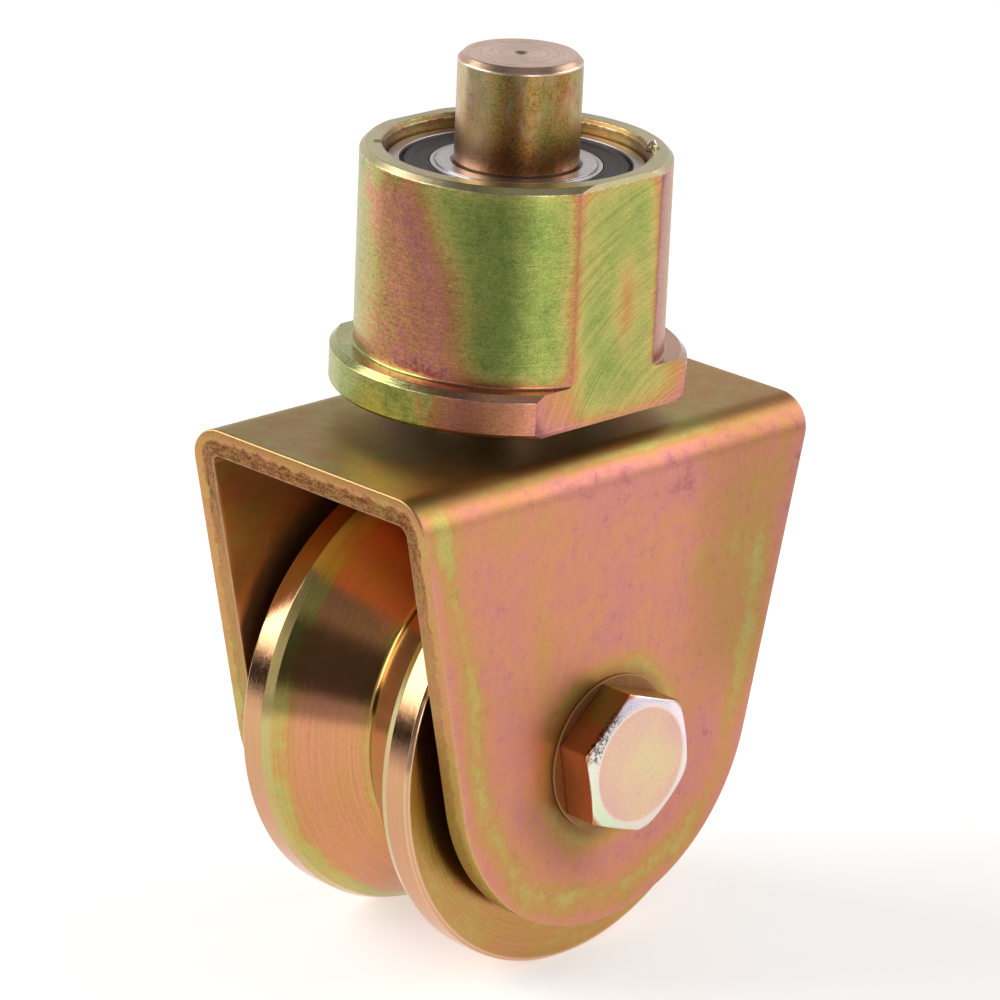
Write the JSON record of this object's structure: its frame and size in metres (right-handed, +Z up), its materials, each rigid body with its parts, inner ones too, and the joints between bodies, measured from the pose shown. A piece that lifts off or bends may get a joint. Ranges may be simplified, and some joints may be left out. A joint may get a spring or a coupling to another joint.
{
  "type": "swivelling V-groove gate wheel",
  "caption": "Swivelling V-groove gate wheel: a flanged bearing housing for the gate tube, a pin through its sealed bearings, a bent plate fork and a turned wheel on a hex bolt.",
  "frame": {"origin": "swivel axis at the flange's top face, where the gate tube sits", "axes": "+Z up along the swivel stem, +Y along the wheel's axle from bolt head to nut, X the rolling direction"},
  "size_m": [0.0876, 0.0784, 0.1483],
  "materials": {
    "zinc_housing": "turned steel with iridescent yellow zinc plating, satin",
    "zinc_stem": "turned steel pin with coppery yellow zinc plating",
    "zinc_fork": "bent plate with iridescent yellow zinc plating, blanked edges rougher",
    "zinc_wheel": "turned steel with iridescent yellow zinc plating, fine turning marks",
    "zinc_bolt": "bright yellow zinc plating",
    "zinc_washer": "yellow zinc plating",
    "bearing_ring": "ground bearing steel",
    "bearing_ball": "polished bearing steel",
    "bearing_cage": "pressed steel",
    "seal_rubber": "matt black moulded rubber",
    "spacer_steel": "turned steel, plain",
    "spring_steel": "black phosphated spring steel",
    "nylon": "nylon locking ring"
  },
  "bodies": {
    "housing": {"bearing_housing": "zinc_housing", "upper_bearing_outer_ring": "bearing_ring", "upper_bearing_top_seal": "seal_rubber", "upper_bearing_bottom_seal": "seal_rubber", "lower_bearing_outer_ring": "bearing_ring", "lower_bearing_top_seal": "seal_rubber", "lower_bearing_bottom_seal": "seal_rubber"},
    "swivel_balls": {"upper_bearing_balls": "bearing_ball", "upper_bearing_cage": "bearing_cage", "lower_bearing_balls": "bearing_ball", "lower_bearing_cage": "bearing_cage"},
    "fork": {"swivel_stem": "zinc_stem", "upper_bearing_inner_ring": "bearing_ring", "lower_bearing_inner_ring": "bearing_ring", "bearing_spacer_tube": "spacer_steel", "thrust_collar": "zinc_washer", "fork": "zinc_fork", "axle_bolt": "zinc_bolt", "head_washer": "zinc_washer", "nut_washer": "zinc_washer", "lock_nut": "zinc_bolt", "lock_nut_insert": "nylon", "axle_sleeve": "spacer_steel", "head_side_spacer": "spacer_steel", "nut_side_spacer": "spacer_steel", "hub_spacer": "spacer_steel", "head_side_bearing_inner_ring": "bearing_ring", "nut_side_bearing_inner_ring": "bearing_ring"},
    "wheel_balls": {"head_side_bearing_balls": "bearing_ball", "head_side_bearing_cage": "bearing_cage", "nut_side_bearing_balls": "bearing_ball", "nut_side_bearing_cage": "bearing_cage"},
    "wheel": {"v_groove_wheel": "zinc_wheel", "head_side_bearing_outer_ring": "bearing_ring", "nut_side_bearing_outer_ring": "bearing_ring", "head_side_bearing_seals": "seal_rubber", "nut_side_bearing_seals": "seal_rubber", "head_side_snap_ring": "spring_steel", "nut_side_snap_ring": "spring_steel"}
  },
  "joints": [
    {"name": "swivel", "type": "hinge", "parent": "housing", "child": "fork", "pos_m": [0, 0, 0], "axis": [0, 0, 1], "continuous": true},
    {"name": "swivel_cage_turn", "type": "hinge", "parent": "housing", "child": "swivel_balls", "pos_m": [0, 0, 0], "axis": [0, 0, 1], "continuous": true},
    {"name": "wheel_spin", "type": "hinge", "parent": "fork", "child": "wheel", "pos_m": [0, 0, -0.0625], "axis": [0, 1, 0], "continuous": true},
    {"name": "wheel_cage_turn", "type": "hinge", "parent": "fork", "child": "wheel_balls", "pos_m": [0, 0, -0.0625], "axis": [0, 1, 0], "continuous": true}
  ],
  "couplings": [
    {"joint": "swivel_cage_turn", "follows": "swivel", "ratio": 0.3984},
    {"joint": "wheel_cage_turn", "follows": "wheel_spin", "ratio": 0.6165}
  ]
}
